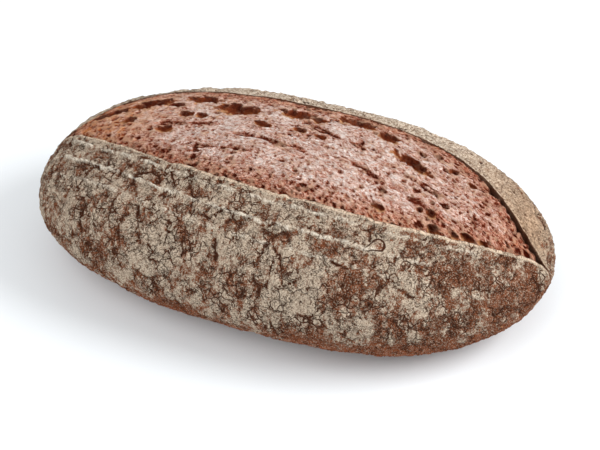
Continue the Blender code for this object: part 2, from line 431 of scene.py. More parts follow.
# Torn burst: crumb that stretched and tore as the loaf rose, then baked, full of open gas bubbles
burst = {
    "rings": 520,
    "columns": 174,
    "underColumns": 10,
    "tuck": 0.9 * mm,  # how far it reaches behind the torn edge of the crust
    "frontStep": 1.6 * mm,  # how far it lies below the front lip
    "frontStepWidth": 7 * mm,
    "backGroove": 1.1 * mm,  # the gap along the back lip, shallow on the left and wide at the right end
    "backGrooveWidth": 1.6 * mm,
    "grooveLedge": 0.4 * mm,
    "grooveLeft": 0.18,
    "grooveDeepens": (-70 * mm, -10 * mm),
    "grooveWidens": (84 * mm, 108 * mm),
    "grooveWider": 2.8,
    "grooveWander": ((8 * mm, 0.9, 71), (2.4 * mm, 0.8, 83)),  # length, share and seed
    "grooveLeast": 0.25,
    "swell": 1.6 * mm,
    "swellWidth": 22 * mm,
    "fullWidth": 7 * mm,  # where the burst is narrower, it lies flatter
    "sunk": 0.5 * mm,
    "tipSunk": 1.4 * mm,
    "leastDepth": 1.2 * mm,  # how deep its underside lies, at least
    "floorGap": 0.4 * mm,  # and how far above the trough's floor
    "bow": 0.22,  # the streaks bow a little towards the back
    "bowWidth": 40 * mm,
    "farAway": 9.0,  # the reach where no bubble is near
    "furrowWander": (7 * mm, 3.2, 37),  # size, height in mm and seed
    "furrowWidth": 1.6,
    "furrowEnds": 0.35,  # share of the depth that is left at a furrow's ends
}

# Large bubbles torn open: centre x and y, length, width and depth in mm, and turn in degrees
bubbles = (
    (-40, 20.5, 23, 11, 3.4, -1),
    (-64, 27, 20, 9.5, 3.0, 4),
    (-92, 18.5, 27, 10, 3.2, 13),
    (-113, 10.5, 24, 7.5, 2.8, 24),
    (-57, 9.5, 7, 4.5, 2.0, 4),
    (-73, -5, 10, 5, 2.0, 8),
    (-97, 2, 10, 4.5, 1.8, 12),
    (-66, 9, 8, 5, 2.0, 10),
    (-75, 17, 8, 4, 2.0, 8),
    (-23, 10, 10, 5, 2.4, -8),
    (-3, 12, 8, 4, 2.0, -4),
    (-11, 27, 19, 9, 3.0, 0),
    (3, 26, 8, 6, 2.4, 0),
    (22, 33, 20, 9, 3.2, -4),
    (41, 27.5, 13, 9, 3.2, -10),
    (60, 13, 24, 6.5, 3.4, -16),
    (10, 11, 8, 3.6, 2.0, -6),
    (80, 21, 5, 5, 2.4, 2),
    (91, 18, 5, 4, 2.2, 2),
    (80, -15, 4.5, 4.5, 2.4, 2),
    (74, -16, 3.5, 3.5, 2.0, 2),
    (83, -23, 6, 5.5, 3.4, 2),
    (100, -17, 7, 4.6, 2.6, -4),
    (109, -14.5, 6, 3.6, 2.0, -12),
    (94, -19.5, 4, 3.2, 1.8, 0),
    (55, -24, 7, 3.4, 2.2, 2),
)

# Long furrows between the drawn threads: x and y of the start and the end in mm, and half the width
furrows = (
    ((18, 3), (52, -8), 1.3),
    ((52, -8), (86, -15), 1.5),
    ((-34, -2), (6, -3), 1.0),
    ((-6, 20), (34, 11), 1.1),
    ((60, 2), (104, -5), 1.0),
    ((-84, -2), (-48, 4), 1.0),
    ((-58, -16), (-20, -13), 1.0),
)


def placeBubbles(flat):  # of the nearest bubble: distance in its own radii, depth, and place across it
    reach = np.full(flat.shape[:-1], burst["farAway"])
    depth, far = np.zeros(reach.shape), np.zeros(reach.shape)
    for x, y, length, width, deep, turn in bubbles:
        dx, dy = flat[..., 0] - x, flat[..., 1] - y
        c, s = math.cos(math.radians(turn)), math.sin(math.radians(turn))
        along, side = (dx * c + dy * s) / (length / 2), (dy * c - dx * s) / (width / 2)
        ratio = np.hypot(along, side)
        depth = np.where(ratio < reach, deep, depth)
        far = np.where(ratio < reach, side, far)
        reach = np.minimum(reach, ratio)
    return {"holeReach": reach, "holeDepth": depth, "holeFar": far}


def placeFurrows(rings):
    furrow = np.zeros(rings.shape[:-1])
    wobble = lumps(rings, *burst["furrowWander"])
    for start, end, half in furrows:
        share, away = fromLine(rings[..., :2] / mm, start, end)
        middle = 4 * share * (1 - share)
        strength = burst["furrowEnds"] + (1 - burst["furrowEnds"]) * middle
        opened = 1 - rise(np.abs(away + wobble), 0, half * burst["furrowWidth"])
        furrow = np.maximum(furrow, opened * strength)
    return furrow


def buildBurst():
    across = np.linspace(0, 1, burst["columns"])
    below = np.linspace(1, 0, burst["underColumns"] + 2)[1:-1]
    rings, values = [], {"fromBack": [], "fromFront": [], "under": [], "gap": []}
    for x in evenStations(score["left"][0], score["right"][0], burst["rings"]):
        section = sectionAt(x)
        opening = section["front"] - section["back"]
        tuck = burst["tuck"] * edgeShare(opening)
        arcs, underArcs = (section["back"] - tuck + (opening + 2 * tuck) * share for share in (across, below))
        fromBack, fromFront = arcs - section["back"], section["front"] - arcs
        uneven = max(burst["grooveLeast"], 1 + sum(wave(x, *wander) for wander in burst["grooveWander"]))
        widen = uneven * (1 + burst["grooveWider"] * rise(x, *burst["grooveWidens"]))
        deepen = burst["grooveLeft"] + (1 - burst["grooveLeft"]) * rise(x, *burst["grooveDeepens"])
        reach = burst["backGrooveWidth"] * widen
        groove = deepen * widen * (1 - ease((fromBack - burst["grooveLedge"]) / reach))
        depth = burst["frontStep"] * (1 - ease(fromFront / burst["frontStepWidth"]))
        depth = depth + burst["backGroove"] * groove
        depth = depth - burst["swell"] * ease(np.minimum(fromBack, fromFront) / burst["swellWidth"])
        depth = depth * float(ease(section["width"] / burst["fullWidth"])) + burst["sunk"]
        underDepth = max(burst["leastDepth"], troughDepth(section) - burst["floorGap"])
        underside = onSection(section, underArcs, underDepth)
        rings.append(np.concatenate([onSection(section, arcs, depth), underside]))
        none = np.zeros(len(below))
        values["fromBack"].append(np.append(fromBack, none))
        values["fromFront"].append(np.append(fromFront, none))
        values["under"].append(np.append(np.zeros(len(arcs)), none + 1))
        values["gap"].append(np.append(np.minimum(groove, 1), none))
    rings = np.array(rings)
    values = {name: np.array(value) for name, value in values.items()}
    poles = []
    for side in ("left", "right"):
        section = sectionAt(score[side][0])
        middle = np.array([(section["back"] + section["front"]) / 2])
        poles.append(onSection(section, middle, burst["tipSunk"])[0])
    x, y = rings[..., 0], rings[..., 1]
    flow = np.stack([x, y + burst["bow"] * np.hypot(x, burst["bowWidth"]), np.zeros_like(x)], axis=-1)
    for name in ("fromBack", "fromFront"):
        values[name] = values[name] / mm
    values["inner"] = np.minimum(values["fromBack"], values["fromFront"])
    values["swell"] = lumps(rings, *relief["lump"]) * (1 - values["under"])
    values["furrow"] = placeFurrows(rings)
    values.update(placeBubbles(rings[..., :2] / mm))
    return closedSkin("burst", rings, poles, {"flow": flow / mm, **values})


# Patches of the flank where the flour has rubbed off (negative) or lies thick: x, y, z, radius in mm, amount
flourPatches = (
    (40, -53, 74, 6, -0.6),
    (99, -41, 63, 7, -0.6),
    (113, -33, 58, 7, -0.4),
    (-75, -68, 55, 7, -0.7),
    (-87, -70, 42, 7, -0.6),
    (58, -64, 62, 8, -0.6),
    (34, -78, 31, 10, -0.7),
    (-39, -76, 25, 9, -0.7),
    (125, -33, 42, 9, -0.5),
    (135, -14, 43, 8, -0.7),
    (28, -76, 52, 12, 0.7),
    (-47, -71, 57, 10, 0.7),
    (78, -53, 63, 8, 0.7),
    (89, -56, 56, 9, 0.7),
)

# Fissures in the flank, each from one point to the next in mm, with half its width
fissures = (
    ((-65, -55, 68), (-61, -65, 62), 0.8),
    ((-95, -56, 59), (-96, -62, 52), 0.9),
    ((-96, -62, 52), (-92, -67, 45), 0.9),
    ((-109, -45, 60), (-110, -50, 54), 0.7),
    ((-18, -64, 68), (-14, -72, 59), 0.9),
    ((27, -48, 77), (31, -53, 75), 0.6),
    ((0, -46, 79), (3, -54, 76), 0.6),
    ((3, -54, 76), (6, -61, 71), 0.6),
    ((-14, -54, 75), (-16, -60, 72), 0.6),
    ((-87, -29, 72), (-84, -36, 70), 0.7),
    ((-44, -58, 71), (-47, -67, 63), 0.7),
    ((48, -55, 72), (52, -66, 62), 0.7),
    ((-120, -36, 52), (-117, -45, 44), 0.7),
    ((70, -60, 61), (66, -67, 52), 0.7),
    ((-5, -74, 55), (2, -78, 45), 0.6),
)
fissureWander = (3.0, 1.6, 61)  # size and height in mm, and seed

# The blister beside the second cane mark: a teardrop with a dark ring that runs out to the lower left
blister = {
    "middle": (62.2, -44.4, 74.4),
    "tail": (56.6, -49.0, 72.0),
    "radius": 3.7,
    "narrows": 0.85,  # share of the radius that is lost along the tail
    "height": 1.5 * mm,
    "flour": 0.9,  # the flour that lies round it
}


def storeCrustMarks(made):  # the placed patches, fissures and blister, as point attributes
    points = pointsOf(made.data) / mm
    flour, fissure = np.zeros(len(points)), np.zeros(len(points))
    for x, y, z, radius, share in flourPatches:
        flour += share * np.exp(-(((points - (x, y, z)) ** 2).sum(axis=1)) / radius**2)
    wobble = lumps(points, *fissureWander)
    for start, end, half in fissures:
        away = np.abs(fromLine(points, start, end)[1] + wobble)
        fissure = np.maximum(fissure, 1 - rise(away, half * 0.4, half * 1.7))
    share, away = fromLine(points, blister["middle"], blister["tail"])
    away = away / (blister["radius"] * (1 - blister["narrows"] * share))
    storeValues(made.data, {
        "flour": flour + blister["flour"] * (1 - rise(np.abs(away - 1.4), 0.2, 0.9)),
        "fissure": fissure * rise(away, 1.0, 1.3),
        "bump": blister["height"] * (1 - ease(away)),
        "drop": np.minimum(away, 4),
    })


# The plates of dried flour, which the crust's relief and its colours share, in mm
plates = {
    "cells": ((5.2, 0.6), (2.6, 0.4)),  # size, and share of the height
    "domeEdge": (0.0, 0.26),  # they are domed over this share of their size
    "bendSize": 4.0,  # how their edges wander
    "bend": 3.6,
}


def bendPlates(add, place):
    bend = add("TexNoise", {"Vector": place, "Scale": 1 / plates["bendSize"], "Detail": 2.0}, None, "Color")
    return add("VectorMath", (bend, [plates["bend"]] * 3, place), timesPlus)


crustRelief = {
    "Plate height": 0.42 * mm,
    "Ridge height": 1.5 * mm,
    "Grain height": 0.55 * mm,
    "Fissure depth": 1.1 * mm,
}
crustPatterns = {"wander": (9, 4.0, 0.7), "where": (15, 2.0, 0.5), "grain": (5, 4.0, 0.65)}
lowerBehind = -0.35 * mm  # the back of the crust lies a little lower
footFade = (0.0, 5.0)  # the relief fades over these heights in mm, and to a share of it at the lip
lipFade = (0.0, 3.0, 0.35, 1.0)

# Marks of the basket's canes, in mm
canes = {
    "marks": ((5.2, 0.9), (16.6, 1.15), (27.5, 0.55)),  # distance past the lip, and strength
    "wander": 4.4,
    "rise": (-2.0, -0.2),
    "fall": (0.1, 1.1, 1.0, 0.0),
    "brokenSize": 9,
    "broken": (0.42, 0.56),
    "least": 0.1,  # share of the height that is left where a mark is broken
    "ends": (118.0, 137.0, 1.0, 0.0),
    "weaker": (20.0, 75.0, 1.0, 0.4),  # towards the right
    "behind": -0.65,
}

# Fissures all over the crust beside the placed ones: cell in mm and its shape, their width, where they open
net = {"cell": 9, "squash": (1.0, 0.5, 0.5), "slit": (0.01, 0.09, 1.0, 0.0), "opened": (0.47, 0.6)}


def crustTree(material):  # raises plates, cane marks and grain on the smooth crust and opens its fissures
    values = ("rest", "past", "wall", "swell", "fissure", "bump", "behind")
    tree, add, given, read = startTree("crust relief", crustRelief, values)
    place, x, z = placeInMm(add, read["rest"])
    pattern = addPatterns(add, place, crustPatterns)

    # A cane mark rises gently on the lip's side, falls steeply on the other, and is broken along its length
    warped = add("Math", (pattern["wander"], canes["wander"], read["past"]), timesPlus)
    marks = []
    for distance, strength in canes["marks"]:
        off = add("Math", (warped, distance + canes["wander"] / 2), minus)
        rising = add("MapRange", (off, *canes["rise"]), smooth)
        falling = add("MapRange", (off, *canes["fall"]), smooth)
        row = add("CombineXYZ", (x, distance * 40))  # far apart in the noise, so each mark breaks elsewhere
        broken = {"Vector": row, "Scale": 1 / canes["brokenSize"], "Detail": 4.0, "Roughness": 0.8}
        least = canes["least"] * strength
        kept = add("MapRange", (add("TexNoise", broken), *canes["broken"], least, strength), smooth)
        marks.append(fold(add, (rising, falling, kept), times))
    ends = add("MapRange", (add("Math", (x,), absolute), *canes["ends"]), smooth)
    weaker = add("MapRange", (x, *canes["weaker"]), smooth)
    front = add("Math", (read["behind"], canes["behind"], 1.0), timesPlus)
    ridge = fold(add, (fold(add, marks, plus), ends, weaker, front), times)

    bent = bendPlates(add, place)
    domes = []
    for cell, share in plates["cells"]:
        edge = add("TexVoronoi", {"Vector": bent, "Scale": 1 / cell}, toEdge, "Distance")
        domes.append(add("MapRange", (edge, *plates["domeEdge"], -share, share), smooth))
    pillow = fold(add, domes, plus)

    squashed = add("VectorMath", (bent, net["squash"]), times)
    split = add("TexVoronoi", {"Vector": squashed, "Scale": 1 / net["cell"]}, toEdge, "Distance")
    slit = add("MapRange", (split, *net["slit"]), smooth)
    opened = add("MapRange", (pattern["where"], *net["opened"]), smooth)
    crack = fold(add, (fold(add, (slit, opened), times), read["fissure"]), largest)
    grain = add("Math", (pattern["grain"], 2.0, -1.0), timesPlus)

    height = add("Math", (read["behind"], lowerBehind, read["bump"]), timesPlus)
    for name, field, sign in (("Plate height", pillow, 1.0), ("Ridge height", ridge, 1.0),
                              ("Grain height", grain, 1.0), ("Fissure depth", crack, -1.0)):
        part = add("Math", (field, given[name]), times)
        height = add("Math", (part, sign, height), timesPlus)
    sole = add("MapRange", (z, *footFade), smooth)
    rim = add("MapRange", (read["past"], *lipFade), smooth)
    outside = add("Math", (1.0, read["wall"]), minus)
    height = add("Math", (fold(add, (height, sole, rim), times), outside, read["swell"]), timesPlus)
    push = add("VectorMath", {0: add("GeometryNodeInputNormal"), "Scale": height}, scaled)
    shape = pushPoints(add, given["Geometry"], push, {"ridge": ridge, "crack": crack, "pillow": pillow})
    return endTree(tree, shape, material)


burstRelief = {
    "Mound height": 1.0 * mm,
    "Streak height": 0.9 * mm,
    "Thread height": 0.45 * mm,
    "Pit depth": 0.26,  # share of a bubble's own size
    "Rim height": 0.22 * mm,
    "Hole lean": 0.4,
}
burstPatterns = {"patchy": (15, 2.0, 0.5), "torn": (4.2, 2.0, 0.55)}
# What the torn crumb is drawn into: size in mm, and how much longer than wide
threads = (("Mound height", 9.0, 1.5), ("Streak height", 3.2, 3.6), ("Thread height", 1.3, 2.4))
flowBend = {"size": 5, "by": (4.0, 3.4, 0.0)}
furrowDepth = 1.3 * mm
# Open gas bubbles of the crumb: cell in mm, stretch along the loaf, and the shares that are open in the
# middle and at the rims
pitLayers = (
    {"cell": 2.0, "stretch": 1.15, "middle": 0.34, "rims": 0.6},
    {"cell": 3.4, "stretch": 1.3, "middle": 0.12, "rims": 0.55},
    {"cell": 6.0, "stretch": 1.3, "middle": 0.02, "rims": 0.14},
)
# What counts as rims: near the lips, towards the left end, and in patches
rimSpans = (
    ("fromFront", 17.0, 4.0, 0.0, 1.0),
    ("fromBack", 26.0, 7.0, 0.0, 0.8),
    ("x", -72.0, -114.0, 0.0, 0.9),
    ("patchy", 0.52, 0.66, 0.0, 0.6),
)
pitShape = {"inside": (0.46, 0.16), "around": (0.34, 0.46), "deep": (0.5, 1.4)}  # in cells
# The placed bubbles, by distance in radii: how far a noise tears their edge, and where mouth, bowl and the
# thin skin round them begin and end
holeShape = {
    "torn": 1.9,
    "mouth": (1.72, 2.12, 1.0, 0.0),
    "bowl": (0.1, 1.15, 1.25, 0.35),
    "skin": (2.5, 2.1),
}


def burstTree(material):  # draws streaks and threads along the loaf and opens the bubbles
    values = ("rest", "flow", "fromBack", "fromFront", "inner", "under", "swell", "holeReach", "holeDepth",
              "furrow")
    tree, add, given, read = startTree("burst relief", burstRelief, values)
    place, x = placeInMm(add, read["rest"])[:2]
    pattern = addPatterns(add, place, burstPatterns)
    flow = read["flow"]
    bend = add("TexNoise", {"Vector": flow, "Scale": 1 / flowBend["size"], "Detail": 3.0}, None, "Color")
    flow = add("VectorMath", (bend, flowBend["by"], flow), timesPlus)

    rims = fold(add, addSpans(add, {**read, **pattern, "x": x}, rimSpans), largest)
    pits, skins = [], []
    for layer in pitLayers:
        cell = layer["cell"]
        grid = add("VectorMath", (flow, (1 / cell / layer["stretch"], 1 / cell, 0.0)), times)
        spots = add("TexVoronoi", {"Vector": grid, "Scale": 1.0}, {"voronoi_dimensions": "2D"}).node.outputs
        chance = add("SeparateXYZ", (spots["Color"],)).node.outputs
        share = add("MapRange", (rims, 0.0, 1.0, layer["middle"], layer["rims"]))
        isOpen = add("Math", (chance[0], share), lessThan)
        inside, around = (add("MapRange", (spots["Distance"], *pitShape[name]), smooth)
                          for name in ("inside", "around"))
        deep = add("MapRange", (chance[1], 0.0, 1.0, *(share * cell * mm for share in pitShape["deep"])))
        pits.append(fold(add, (inside, isOpen, deep), times))
        skins.append(fold(add, (around, isOpen), times))

    ragged = add("Math", (pattern["torn"], holeShape["torn"], read["holeReach"]), timesPlus)
    mouth = add("MapRange", (ragged, *holeShape["mouth"]), smooth)
    bowl = add("MapRange", (read["holeReach"], *holeShape["bowl"]), smooth)
    hole = fold(add, (mouth, read["holeDepth"], bowl, mm), times)
    lifted = add("MapRange", (ragged, *holeShape["skin"]), smooth)
    skins.append(fold(add, (lifted, add("Math", (1.0, mouth), minus)), times))
    skin = fold(add, skins, largest)

    drawn = []
    for name, scale, stretch in threads:
        grid = add("VectorMath", (flow, (1 / scale / stretch, 1 / scale, 0.0)), times)
        field = add("TexNoise", {"Vector": grid, "Scale": 1.0, "Detail": 3.0, "Roughness": 0.6})
        field = add("Math", (field, 2.0, -1.0), timesPlus)
        drawn.append(add("Math", (field, given[name]), times))
    sunk = add("Math", (fold(add, pits, largest), given["Pit depth"]), times)
    sunk = add("Math", (read["furrow"], furrowDepth, fold(add, (sunk, hole), plus)), timesPlus)
    height = add("Math", (fold(add, drawn, plus), sunk), minus)
    height = add("Math", (skin, given["Rim height"], height), timesPlus)
    inner = add("MapRange", (read["inner"], 0.0, 2.6, 0.1, 1.0), smooth)
    inner = fold(add, (inner, add("Math", (1.0, read["under"]), minus)), times)
    lift = add("Math", (height, inner, read["swell"]), timesPlus)
    push = add("VectorMath", {0: add("GeometryNodeInputNormal"), "Scale": lift}, scaled)
    lean = add("CombineXYZ", (0.0, fold(add, (sunk, given["Hole lean"], inner), times)))
    push = add("VectorMath", (push, lean), plus)
    kept = {"sunk": sunk, "raised": height, "skins": skin, "mouth": mouth}
    return endTree(tree, pushPoints(add, given["Geometry"], push, kept), material)


def startMaterial(name, base, roughness, values=()):
    material = bpy.data.materials.new(name)
    material.use_nodes = True
    shader = material.node_tree.nodes["Principled BSDF"]
    shader.inputs["Base Color"].default_value = hexColour(base)
    shader.inputs["Roughness"].default_value = roughness
    shader.inputs["Specular IOR Level"].default_value = 0.06  # dry flour and crumb have hardly any gloss
    add, read = partial(addNode, material.node_tree), {}
    for value in values:
        output = "Vector" if value in vectorValues else "Fac"
        read[value] = add("Attribute", (), {"attribute_name": value}, output)
    return material, add, read


def endMaterial(material, add, colour, height=None):  # the height, of about 0 to 1, makes a fine bump
    tree = material.node_tree
    shader = tree.nodes["Principled BSDF"]
    tree.links.new(colour, shader.inputs["Base Color"])
    if height is not None:
        bump = add("Bump", {"Height": height, "Distance": 0.7 * mm, "Strength": 1.0})
        tree.links.new(bump, shader.inputs["Normal"])
    return material


def contourLines(add, vector, size, width, roughness, distortion=0.0):
    # Thin lines where a noise crosses its middle value, so they wander and end instead of closing into cells
    level = add("TexNoise", {"Vector": vector, "Scale": 1 / size, "Detail": 3.0, "Roughness": roughness,
                             "Distortion": distortion})
    level = add("Math", (add("Math", (level, 0.5), minus),), absolute)
    return add("MapRange", (level, 0.0, width, 1.0, 0.0), smooth)


def setStops(ramp, stops):  # colours along a ramp, from a list of positions and hex colours
    while len(ramp.elements) < len(stops):
        ramp.elements.new(1.0)
    for element, (position, colour) in zip(ramp.elements, stops):
        element.position = position
        element.color = hexColour(colour)


# Floured crust: pale rye flour caked on red-brown baked crust, split into plates by fine dark cracks
flouredCrust = {
    "roughness": 0.92,
    "flour": "#b9a996",
    "flourShade": "#6e5a47",
    # pale band behind the burst: cream flour, lightened by a painted highlight
    "creamAndHighlight": "#e6d6c3",
    "tan": "#b8987b",
    "bandShade": "#7c6048",
    "thick": "#ded4c4",
    # pale line along the front lip: flour, with a painted highlight on its crisp edge
    "lip": "#d8bfa6",
    "bare": "#75442c",
    "bareDark": "#472717",
    "rust": "#8b4a2b",
    "crack": "#341b10",
    # the torn wall inside the trough: brown crust section, darkened into painted shade for the gap at the
    # back lip
    "torn": "#573120",
    "patterns": {  # size in mm, detail and roughness
        "plateMask": (12, 2.0, 0.5),
        "wobble": (2.5, 2.0, 0.5),
        "speck": (1.3, 4.0, 0.75),
        "fleck": (0.75, 3.0, 0.75),
        "tone": (2.6, 4.0, 0.65),
        "dust": (0.7, 2.0, 0.6),
    },
    "plateCrack": 0.4,  # widest crack between plates, in mm
    # Finer cracks: size in mm, width, and the size and range of the patches that have them
    "cracks": ((7.0, 0.016, 14, 0.42, 0.6), (3.4, 0.019, 9, 0.44, 0.6), (1.9, 0.024, 7, 0.44, 0.62)),
    "cover": (1.7, -0.305),  # how the cloudy pattern turns into cover with flour
    "coverShares": {"flour": 0.35, "ridge": 0.5, "creamAndHighlight": 0.3, "pillow": 0.05, "cracks": -0.3, "crack": -0.3,
                    "lip": 1.0},
    "coverEdge": 0.12,
    "bump": {"cracks": -0.9, "dusted": 0.35},
    "spans": {  # where each begins and ends, in mm past the lip, of x or of z, and its strength there
        "nearLip": ("past", 22.0, 55.0, 1.0, 0.0),
        # the band gets paler higher up: a painted highlight where the top faces the light
        "above": ("z", 38.0, 58.0, 0.1, 1.0),
        "worn": ("x", -50.0, -112.0, 1.0, 0.15),
        "tanned": ("x", 60.0, 136.0, 0.0, 1.0),
        "lip": ("past", 0.4, 2.4, 0.3, 0.0),
        # the pale front lip line: flour, with a painted highlight on its crisp edge
        "paleEdge": ("past", 0.4, 1.4, 0.8, 0.0),
        "foot": ("z", 10.0, 38.0, -0.3, 0.03),
        "rusty": ("z", 14.0, 38.0, 0.75, 0.0),
        "rightEnd": ("x", 30.0, 105.0, 0.0, -0.13),
    },
}


def crustMaterial():
    look = flouredCrust
    values = ("rest", "past", "torn", "flour", "ridge", "crack", "pillow", "behind", "drop")
    material, add, read = startMaterial("floured rye crust", look["flour"], look["roughness"], values)
    place, x, z = placeInMm(add, read["rest"])
    pattern = addPatterns(add, place, look["patterns"])
    speck = pattern["speck"]
    spans = dict(zip(look["spans"], addSpans(add, {**read, "x": x, "z": z}, look["spans"].values())))

    # The pale band behind the burst: thick flour and a painted highlight on the back top, paler higher up,
    # worn towards the left end
    creamAndHighlight = fold(add, (read["behind"], spans["nearLip"], spans["above"], spans["worn"]), times)

    # Cracks between the plates, then ever finer ones, each kind only in patches
    bent, cell = bendPlates(add, place), plates["cells"][0][0]
    edge = add("TexVoronoi", {"Vector": bent, "Scale": 1 / cell}, toEdge, "Distance")
    wide = add("MapRange", (pattern["plateMask"], 0.48, 0.66, 0.001, look["plateCrack"] / cell))
    cracks = [add("MapRange", (edge, 0.0, wide, 1.0, 0.0), smooth)]
    for size, width, maskSize, low, high in look["cracks"]:
        mask = add("TexNoise", {"Vector": place, "Scale": 1 / maskSize, "Detail": 2.0})
        wide = add("MapRange", (mask, low, high, 0.001, width))
        cracks.append(contourLines(add, bent, size, wide, 0.55))
    calm = add("Math", (fold(add, (creamAndHighlight, read["ridge"]), largest), -0.6, 1.0), timesPlus)

    # The blister stays clear of them and has a dark ring
    drop = add("Math", (pattern["wobble"], 0.5, read["drop"]), timesPlus)
    clear = add("MapRange", (drop, 1.35, 1.7))
    cracks = fold(add, (fold(add, cracks, largest), calm, clear), times)
    ring = add("Math", (add("Math", (drop, 1.25), minus),), absolute)
    ring = add("MapRange", (ring, 0.07, 0.2, 1.0, 0.0), smooth)
    fissure = add("Math", (speck, 1.2, read["crack"]), timesPlus)
    fissure = add("MapRange", (fissure, 1.22, 1.6), smooth)
    cracks = fold(add, (cracks, ring, fissure), largest)

    # How much flour covers the crust, and the specks of it that this leaves
    tall = add("VectorMath", (place, (1.0, 0.6, 0.6)), times)
    cloud = add("TexNoise", {"Vector": tall, "Scale": 1 / 6, "Detail": 5.0, "Roughness": 0.7})
    cover = add("Math", (cloud, *look["cover"]), timesPlus)
    fields = {**read, "creamAndHighlight": creamAndHighlight, "cracks": cracks, "lip": spans["lip"]}
    cover = addShares(add, cover, fields, look["coverShares"])
    cover = fold(add, (cover, spans["foot"], spans["rightEnd"]), plus)
    low, high = (add("Math", (cover, shift), plus) for shift in (-look["coverEdge"], look["coverEdge"]))
    dusted = add("MapRange", (speck, low, high, 1.0, 0.0), smooth)

    coarse = add("MapRange", (speck, 0.41, 0.6))
    band = coat(add, look["bandShade"], (coarse, coat(add, look["creamAndHighlight"], (spans["tanned"], look["tan"]))))
    fleck = add("MapRange", (pattern["fleck"], 0.36, 0.56))
    thick = fold(add, (read["ridge"], fleck), times)
    warm = fold(add, (creamAndHighlight, 0.85), times)
    flour = coat(add, look["flourShade"], (fleck, look["flour"]), (thick, look["thick"]), (warm, band))

    tone = add("MapRange", (pattern["tone"], 0.35, 0.65))
    dust = add("MapRange", (pattern["dust"], 0.52, 0.66, 0.0, 0.6))
    bare = coat(add, look["bareDark"], (tone, look["bare"]), (spans["rusty"], look["rust"]),
                (dust, look["flour"]))

    dark = fold(add, (cracks, 0.88), times)
    # The pale line along the front lip: flour, with a painted highlight on its crisp edge
    front = add("Math", (read["behind"], -0.9, 1.0), timesPlus)
    paleEdge = fold(add, (spans["paleEdge"], fleck, front), times)
    spots = add("MapRange", (tone, 0.12, 0.0, 0.0, 0.7), smooth)
    # The trough's torn wall: brown crust section, darkened as painted shade for the gap along the back lip
    wall = add("MapRange", (cloud, 0.35, 0.65, 1.0, 0.8))
    wall = fold(add, (read["torn"], wall), times)
    skin = coat(add, bare, (dusted, flour), (dark, look["crack"]), (paleEdge, look["lip"]),
                (spots, look["bareDark"]), (wall, look["torn"]))
    fields["dusted"] = dusted
    return endMaterial(material, add, skin, addShares(add, speck, fields, look["bump"]))


# Torn crumb: the inside of the loaf, baked dry, pale pink-brown on the threads and red-brown in the bubbles,
# with painted shade in pits and bubbles and a painted highlight on raised threads
tornCrumb = {
    "roughness": 0.85,
    # the crumb's tones from dark to pale; painted shade and a painted highlight move the level along them
    "stops": ((0.04, "#5a2010"), (0.21, "#954a33"), (0.37, "#ba7e68"), (0.53, "#d1a391"), (0.71, "#e5c4b6"),
              (0.93, "#fbeee7")),
    "rim": "#d3a78a",
    # inside a bubble: a painted amber light on the near floor, red-brown crumb, then painted shade at the
    # back
    "hollow": ((0.0, "#d8a072"), (0.22, "#ab6239"), (0.5, "#843e21"), (1.0, "#4e1c0e")),
    "amber": "#f2b67c",
    # painted shade for the groove along the back lip
    "paintedGapShade": "#4a2415",
    "patterns": {"broad": (8, 3.0, 0.5), "blot": (4.5, 3.0, 0.5)},  # size in mm, detail and roughness
    "level": (0.82, -0.03),  # how the threads turn into tone, and what else makes it lighter or darker
    # raised and sunk add a painted highlight and painted shade; the first two spans add painted shade along
    # the lips
    "levelShares": {"broad": 0.5, "raised": 190.0, "sunk": -430.0, "slits": -0.32, "strands": 0.22},
    "levelSpans": (("fromFront", 2.0, 18.0, -0.15, 0.03), ("fromBack", 3.0, 17.0, -0.24, 0.0),
                   ("x", 45.0, 110.0, 0.0, -0.14), ("x", -60.0, -110.0, 0.0, 0.12)),
    "amberSpans": (("x", -50.0, -112.0, 0.0, 1.0), ("x", 98.0, 130.0, 0.0, 0.9),
                   ("fromFront", 1.0, 14.0, 0.65, 0.0), ("fromBack", 2.0, 16.0, 0.6, 0.0)),
    "shade": (0.7, 0.08),  # inside, a bubble gets darker towards the back: painted shade on its far wall
    "shadeShares": {"blot": 0.5, "thread": -0.5, "mouth": 0.35},
    "bump": {"slits": -0.7, "strands": 0.6},
    "threadSize": 1.3,  # mm, coarser than real crumb threads, so that they show
    # Dark lines between the threads, and pale strands: size in mm and width
    "slits": ((4.2, 0.03), (2.1, 0.03)),
    "strands": ((3.1, 0.028), (1.6, 0.03)),
}


